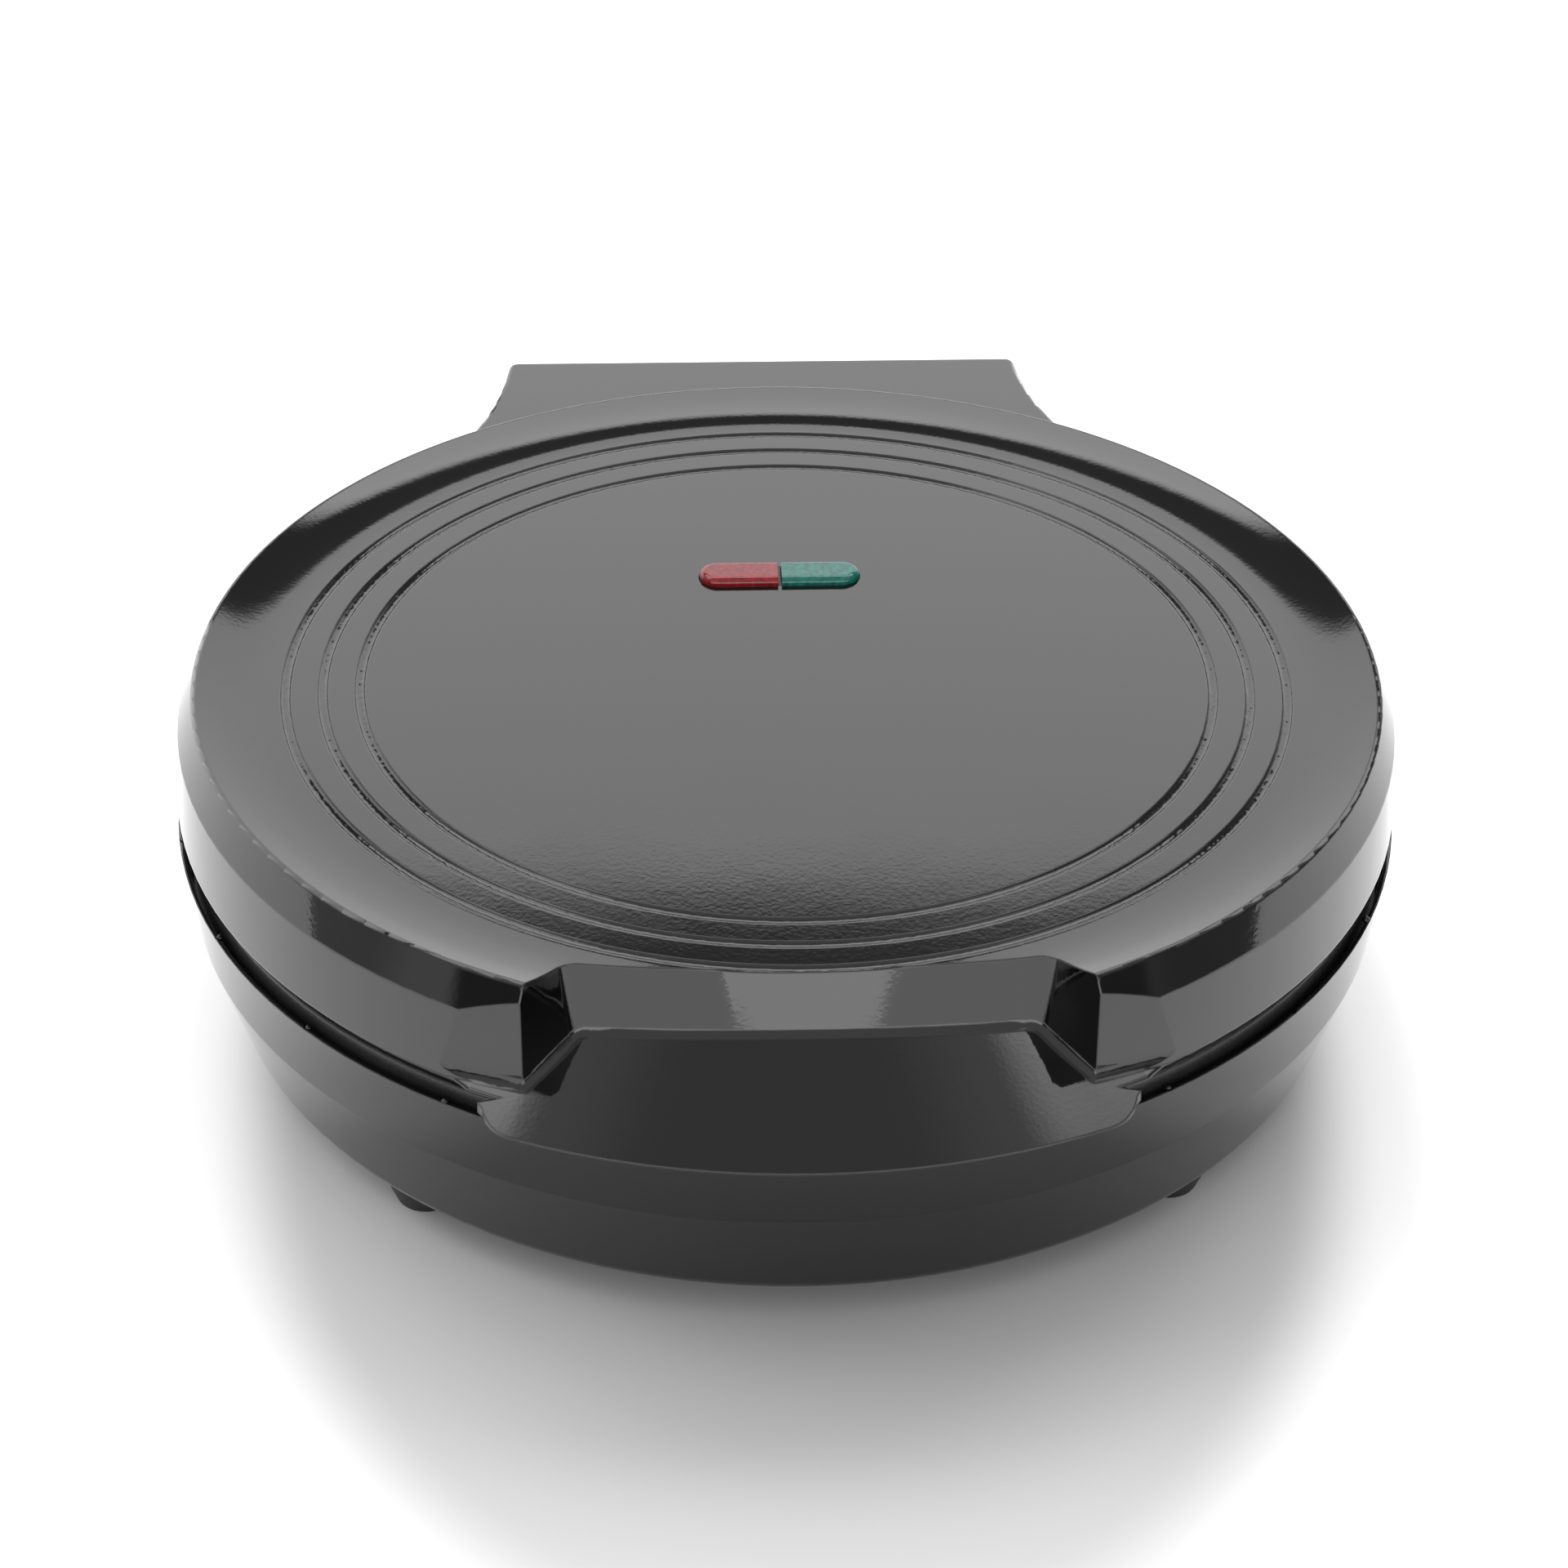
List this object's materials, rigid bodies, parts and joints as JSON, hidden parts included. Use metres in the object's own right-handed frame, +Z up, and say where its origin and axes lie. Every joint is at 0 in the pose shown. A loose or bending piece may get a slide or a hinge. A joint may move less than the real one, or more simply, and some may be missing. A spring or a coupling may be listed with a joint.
{
  "type": "electric pizza maker",
  "caption": "Round countertop pizza maker: a lid with a scooped front handle hinges over a bowl-shaped base, each holding a cast heated plate.",
  "frame": {"origin": "on the table under the middle of the closed part's box", "axes": "+Z up, -Y towards the handle at the front, +Y towards the hinge, +X to the right seen from the front; the left and right halves mirror each other about X = 0 apart from the mains inlet and the lamp colours"},
  "size_m": [0.3346, 0.3722, 0.1029],
  "materials": {
    "casing": "glossy black moulded plastic with a faint orange-peel surface",
    "inner_cover": "satin black moulded plastic",
    "terminal_plastic": "off-white moulded plastic",
    "coated_plate": "cast aluminium with a dark satin non-stick coating",
    "heater_sheath": "annealed steel tube",
    "reflector": "bright rolled sheet",
    "steel": "zinc-plated steel",
    "brass": "plain turned brass",
    "red_lens": "clear-topped red plastic lens",
    "green_lens": "clear-topped green plastic lens",
    "lamp_glass": "small clear glass lamp",
    "foot_rubber": "matt black rubber"
  },
  "bodies": {
    "base": {"base_shell": "casing", "hinge_housing": "casing", "bottom_cover": "inner_cover", "bottom_cover_screws": "steel", "foot_screws": "steel", "front_left_foot": "foot_rubber", "front_right_foot": "foot_rubber", "rear_left_foot": "foot_rubber", "rear_right_foot": "foot_rubber", "inlet_bushing": "inner_cover", "terminal_block": "terminal_plastic", "terminal_screws": "brass", "lower_plate": "coated_plate", "lower_plate_screws": "steel", "lower_heater": "heater_sheath", "lower_heater_clips": "steel", "lower_reflector": "reflector", "lower_reflector_screws": "steel", "thermostat": "steel", "thermostat_strap": "steel", "thermostat_screws": "steel", "lower_thermal_fuse": "steel", "left_hinge_pin": "steel", "right_hinge_pin": "steel"},
    "lid": {"lid_shell": "casing", "hinge_cover": "inner_cover", "hinge_cover_screws": "steel", "upper_plate": "coated_plate", "upper_plate_screws": "steel", "upper_heater": "heater_sheath", "upper_heater_clips": "steel", "upper_reflector": "reflector", "upper_reflector_screws": "steel", "upper_thermal_fuse": "steel", "red_lens": "red_lens", "green_lens": "green_lens", "lamp_box": "inner_cover", "lamp_box_screws": "steel", "red_lamp": "lamp_glass", "green_lamp": "lamp_glass"}
  },
  "joints": [
    {"name": "lid_hinge", "type": "hinge", "parent": "base", "child": "lid", "pos_m": [0, 0.1786, 0.066], "axis": [-1, 0, 0], "range_deg": [0, 100]}
  ]
}
